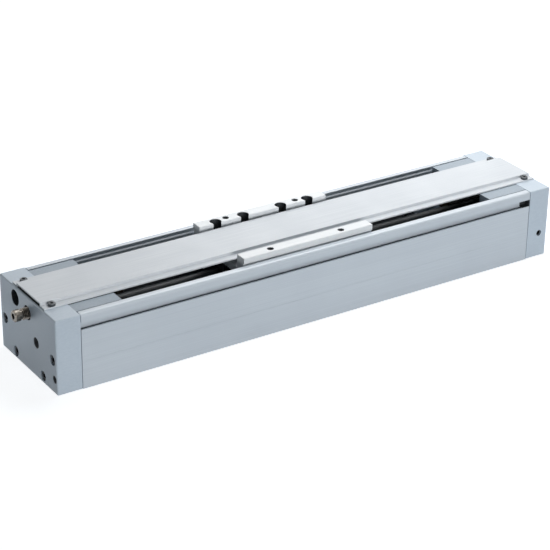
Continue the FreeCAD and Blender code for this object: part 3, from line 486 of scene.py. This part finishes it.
def tapped_lining(radius, depth, pitch, blind=True):
    """The thread of a tapped hole along Z, its mouth at Z = 0; a blind one has a closed bottom."""
    wall = radius - LINING_GAP
    root = wall - LINING_GAP
    floor = LINING_GAP - depth
    end = HOLE_END if blind else 0.0
    turns = thread(root, radius - TAP_DEPTH * pitch, -LINING_MOUTH, floor + end, pitch)
    profile = [(wall, floor), (wall, -LINING_MOUTH)] + turns
    if blind:
        profile = [(0, floor)] + profile + [(0, floor + LINING_GAP)]
    mesh = turned(profile, closed=not blind)
    bmesh.ops.recalc_face_normals(mesh, faces=mesh.faces)
    return mesh


def recess_shade_lining(radius, bore, depth):
    """Thin wall and floor of a bored recess along Z, its mouth at Z = 0, round a hole in its floor, which
    carries painted shade.
    """
    outer = radius - LINING_GAP
    inner = outer - LINING_GAP
    floor = LINING_GAP - depth
    mesh = turned([(inner, -LINING_MOUTH), (outer, -LINING_MOUTH), (outer, floor), (bore, floor),
                   (bore, floor + LINING_GAP), (inner, floor + LINING_GAP)], closed=True)
    bmesh.ops.recalc_face_normals(mesh, faces=mesh.faces)
    return mesh


def shade_film(low, high):
    """A thin box between two corners in mm, used as a film of painted shade."""
    low, high = Vector(low) * MM, Vector(high) * MM
    mesh = bmesh.new()
    bmesh.ops.create_cube(mesh, size=1.0)
    bmesh.ops.scale(mesh, vec=high - low, verts=mesh.verts)
    bmesh.ops.translate(mesh, vec=middle(low, high), verts=mesh.verts)
    return mesh


def keep_nodes(looks):
    """Give the pieces that keep their CAD shape their finish."""
    for finish, nodes in KEPT.items():
        for node in nodes:
            for slot in frame["nodes"][node].material_slots:
                slot.material = looks[finish]


def ease(mesh, width):
    """Make flat faces whole, then round the sharp edges a little, as a hand-broken edge is."""
    bmesh.ops.dissolve_limit(mesh, angle_limit=FLAT, verts=mesh.verts, edges=mesh.edges)
    sharp = [edge for edge in mesh.edges if edge.is_manifold and edge.calc_face_angle() > SHARP]
    bmesh.ops.bevel(mesh, geom=sharp, offset=width * MM, offset_type="OFFSET", segments=EASE_STEPS,
                    profile=0.5, affect="EDGES", clamp_overlap=True, material=-1)


def eased_pieces(looks):
    """Machined pieces with eased edges, in the places of their CAD nodes."""
    for nodes, body, finish, slot, width in EASED:
        for node in nodes:
            mesh = merged_copy(node)
            ease(mesh, width)
            piece(node + "_eased", mesh, looks[finish], body, [node])


def screws(looks):
    """Detailed screws in the places of the CAD nodes' plain ones; heads point up or out of the ends."""
    for node, (body, kind, finish, axis_index) in SCREW_NODES.items():
        height = SCREWS[kind]["height"]
        parts = []
        for low, high in islands(node):
            centre = middle(low, high)
            outward = 1.0 if axis_index == 2 or centre[axis_index] > 0 else -1.0
            axis = Vector((0, 0, 0))
            axis[axis_index] = outward
            seat = centre.copy()
            seat[axis_index] = (high if outward > 0 else low)[axis_index] - outward * height
            length = (high - low)[axis_index] - height
            parts.append((socket_screw(kind, length), aim(seat, axis)))
        piece(node + "_detailed", gather(parts), looks[finish], body, [node])


def pattern(mount):
    """Places in mm of a bolt pattern's four holes."""
    centre = Vector(mount["pos_m"]) / MM
    wide, deep = mount["dims"]["spacing_x_mm"] / 2, mount["dims"]["spacing_y_mm"] / 2
    return [centre + Vector((x, y, 0)) for x in (-wide, wide) for y in (-deep, deep)]


def pattern_threads(mount, depth, axis):
    """Linings of a bolt pattern's tapped holes, with the matrices that place them."""
    radius = mount["dims"]["hole_r_mm"]
    return [(tapped_lining(radius, depth, HOLE_PITCH), aim(spot, axis)) for spot in pattern(mount)]


def housing_threads(looks):
    """Cut threads in the ports, the spare stop holes, the feet and the end faces' corners."""
    parts = []
    for name, pitch, blind in (("port", PORT_PITCH, True), ("spare_stop", STOP_PITCH, False)):
        for side, _ in ENDS:
            mount = MOUNTS[name + "_" + side]
            axis = Vector(mount["axis"])
            depth = mount["dims"]["length_mm"]
            mouth = Vector(mount["pos_m"]) / MM + axis * depth / 2
            parts.append((tapped_lining(mount["dims"]["r_mm"], depth, pitch, blind), aim(mouth, axis)))
    parts += pattern_threads(MOUNTS["body_feet"], FOOT_HOLE_DEPTH, (0, 0, -1))
    for side, outward in ENDS:
        low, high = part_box("end_plate_" + side)
        face = (low if outward < 0 else high) / MM
        across = outward * (high.y / MM - CORNER_HOLE_INSET)
        shape = tapped_lining(CORNER_HOLE_RADIUS, CORNER_HOLE_DEPTH, HOLE_PITCH)
        parts.append((shape, aim((face.x, across, CORNER_HOLE_HEIGHT), (outward, 0, 0))))
    # The threads are near black: painted shade inside the holes
    piece("housing_threads", gather(parts), looks["painted_shade_lining"], "housing")


def table_threads(looks):
    """Cut threads in the table's bars."""
    parts = pattern_threads(MOUNTS["table_top"], TABLE_HOLE_DEPTH, (0, 0, 1))
    # The threads are near black: painted shade inside the holes
    piece("table_threads", gather(parts), looks["painted_shade_lining"], "carriage")


def housing_recess_shade(looks):
    """Dark linings of painted shade in the stop bolts' and spare holes' seats, and films of painted shade in
    the grooves and panel ends.
    """
    parts = []
    for side, outward in ENDS:
        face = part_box("end_plate_" + side)[0 if outward < 0 else 1].x / MM
        axis = (outward, 0, 0)
        bolt = middle(*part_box("stop_bolt_" + side)) / MM
        seat = recess_shade_lining(STOP_RECESS_RADIUS, STOP_RADIUS + STOP_RECESS_ROOM, STOP_RECESS_DEPTH)
        parts.append((seat, aim((face, bolt.y, bolt.z), axis)))
        hole = Vector(MOUNTS["spare_stop_" + side]["pos_m"]) / MM
        seat = recess_shade_lining(SPARE_RECESS_RADIUS, STOP_RADIUS, SPARE_RECESS_DEPTH)
        parts.append((seat, aim((face, hole.y, hole.z), axis)))
        half_turn = Matrix.Rotation(pi if outward < 0 else 0.0, 4, "Z")
        parts += [(shade_film(low, high), half_turn) for low, high in SHADE_FILMS]
    # Seat linings and films are near black: painted shade in the recesses, grooves and panel ends
    piece("housing_recess_shade", gather(parts), looks["painted_shade_lining"], "housing")


def table_counterbore_shade(looks):
    """Linings of painted shade in the counterbores of the rear bar, which break out of its inner face."""
    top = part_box("slide_table")[1].z / MM
    parts = []
    for low, high in islands("rear_block_screws"):
        spot = middle(low, high)
        bore = recess_shade_lining(COUNTERBORE_RADIUS, SCREWS["large"]["head"], COUNTERBORE_SHOWN)
        parts.append((bore, aim((spot.x, spot.y, top), (0, 0, 1))))
    whole = gather(parts)
    inner_face = Vector((0, BAR_INNER_FACE * MM, 0))
    cut = bmesh.ops.bisect_plane(whole, geom=whole.verts[:] + whole.edges[:] + whole.faces[:],
                                 plane_co=inner_face, plane_no=(0, -1, 0), clear_outer=True)["geom_cut"]
    bmesh.ops.holes_fill(whole, edges=[item for item in cut if isinstance(item, bmesh.types.BMEdge)])
    bmesh.ops.recalc_face_normals(whole, faces=whole.faces)
    # Near black: painted shade in the counterbores
    piece("table_counterbore_shade", whole, looks["painted_shade_lining"], "carriage")


def stop_bolts(looks):
    """Threaded stop bolts with a neck, and a socket in the outer end."""
    for side, outward in ENDS:
        low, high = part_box("stop_bolt_" + side)
        low, high = low / MM, high / MM
        length = high.x - low.x
        profile = [(0, SPIGOT_DEPTH - length), (SPIGOT_RADIUS, SPIGOT_DEPTH - length),
                   (SPIGOT_RADIUS, -length), (STOP_RADIUS - STOP_TIP, -length)]
        profile += bolt_thread(STOP_RADIUS, STOP_NECK_END, STOP_TIP - length, STOP_PITCH)
        profile += [(STOP_NECK, STOP_NECK_END), (STOP_NECK, STOP_NECK_START - STOP_NECK_SLOPE),
                    (STOP_RADIUS, STOP_NECK_START), (STOP_RADIUS, -STOP_TIP), (STOP_RADIUS - STOP_TIP, 0),
                    (STOP_RIM, 0)]
        mesh = turned(profile)
        hex_socket(mesh, STOP_KEY, STOP_KEY_DEPTH)
        centre = middle(low, high)
        outer = (low if outward < 0 else high).x
        whole = gather([(mesh, aim((outer, centre.y, centre.z), (outward, 0, 0)))])
        # Its dark and light patches are painted reflections
        piece("stop_bolt_%s_threaded" % side, whole, looks["oiled_steel_painted_sheen"], "stop_" + side,
              ["stop_bolt_" + side])


def plugs(looks):
    """Socket set screws that close the side passages."""
    parts = []
    for low, high in islands("passage_plugs"):
        centre = middle(low, high)
        outward = 1 if centre.y > 0 else -1
        radius = (high.x - low.x) / 2
        length = high.y - low.y
        profile = [(0, -length), (radius * PLUG_POINT, -length)]
        profile += bolt_thread(radius, -PLUG_LEAD, PLUG_LEAD - length, SCREW_PITCH)
        profile += [(radius - PLUG_CHAMFER, 0), (PLUG_RIM, 0)]
        mesh = turned(profile)
        hex_socket(mesh, PLUG_KEY, length / 2)
        outer = (high if outward > 0 else low).y
        parts.append((mesh, aim((centre.x, outer, centre.z), (0, outward, 0))))
    piece("passage_plugs_detailed", gather(parts), looks["black_oxide"], "housing",
          ["passage_plugs"])


def seen_directly(tree):
    """1 for what the eye, a shine or glass shows, and 0 for the light on the object."""
    rays = add(tree, "LightPath").outputs
    seen = add(tree, "Math", {0: rays["Is Camera Ray"], 1: rays["Is Glossy Ray"]}, operation="MAXIMUM")
    seen = add(tree, "Math", {0: seen.outputs[0], 1: rays["Is Transmission Ray"]}, operation="MAXIMUM")
    return seen.outputs[0]


def studio_floor():
    """Pale floor: white to the eye and to shiny metal, and it keeps a soft shadow."""
    mesh = bmesh.new()
    bmesh.ops.create_grid(mesh, x_segments=1, y_segments=1, size=FLOOR_SIZE)
    bmesh.ops.translate(mesh, verts=mesh.verts, vec=(0, 0, -FLOOR_DROP * MM))
    data = bpy.data.meshes.new("floor")
    mesh.to_mesh(data)
    mesh.free()
    material = bpy.data.materials.new("pale_paper")
    tree = empty_tree(material)
    glow = add(tree, "Math", {0: seen_directly(tree), 1: FLOOR_GLOW}, operation="MULTIPLY")
    paper = add(tree, "BsdfDiffuse", {"Color": linear(FLOOR_COLOUR)})
    light = add(tree, "Emission", {"Color": WHITE, "Strength": glow.outputs[0]})
    total = add(tree, "AddShader", {0: paper.outputs[0], 1: light.outputs[0]})
    add(tree, "OutputMaterial", {"Surface": total.outputs[0]})
    data.materials.append(material)
    floor = bpy.data.objects.new("floor", data)
    bpy.context.scene.collection.objects.link(floor)


def studio_world():
    """White surround for the eye and for reflections, and a weak, cool fill for the light."""
    world = bpy.data.worlds.new("studio")
    bpy.context.scene.world = world
    tree = empty_tree(world)
    seen = seen_directly(tree)
    fill = add(tree, "Background", {"Color": FILL, "Strength": FILL_STRENGTH})
    white = add(tree, "Background", {"Color": WHITE, "Strength": 1.0})
    total = add(tree, "MixShader", {0: seen, 1: fill.outputs[0], 2: white.outputs[0]})
    add(tree, "OutputWorld", {"Surface": total.outputs[0]})


def softbox(name, place, target, wide, high, power):
    """A rectangular lamp that faces its target."""
    lamp = bpy.data.lights.new(name, "AREA")
    lamp.shape = "RECTANGLE"
    lamp.size = wide
    lamp.size_y = high
    lamp.energy = power
    box = bpy.data.objects.new(name, lamp)
    box.location = place
    box.rotation_euler = (Vector(target) - Vector(place)).to_track_quat("-Z", "Y").to_euler()
    bpy.context.scene.collection.objects.link(box)


def photo_camera():
    """The camera at the photograph's viewing angle."""
    lens = bpy.data.cameras.new("photo_camera")
    lens.type = "PERSP"
    lens.sensor_width = SENSOR
    lens.lens = CAMERA_LENS
    lens.clip_end = CAMERA_REACH
    camera = bpy.data.objects.new("photo_camera", lens)
    camera.matrix_world = (Matrix.Translation(CAMERA_PLACE)
                           @ Matrix.Rotation(radians(-CAMERA_YAW), 4, "Z")
                           @ Matrix.Rotation(radians(90 - CAMERA_PITCH), 4, "X")
                           @ Matrix.Rotation(radians(CAMERA_ROLL), 4, "Z"))
    bpy.context.scene.collection.objects.link(camera)
    bpy.context.scene.camera = camera


def main():
    """Dress the part and set up the studio."""
    looks = {name: surface(name, *values) for name, values in FINISHES.items()}
    keep_nodes(looks)
    eased_pieces(looks)
    screws(looks)
    housing_threads(looks)
    table_threads(looks)
    housing_recess_shade(looks)
    table_counterbore_shade(looks)
    stop_bolts(looks)
    plugs(looks)
    studio_floor()
    studio_world()
    for name, values in SOFTBOXES.items():
        softbox(name, *values)
    photo_camera()
    bpy.context.scene.view_settings.view_transform = "Standard"


main()
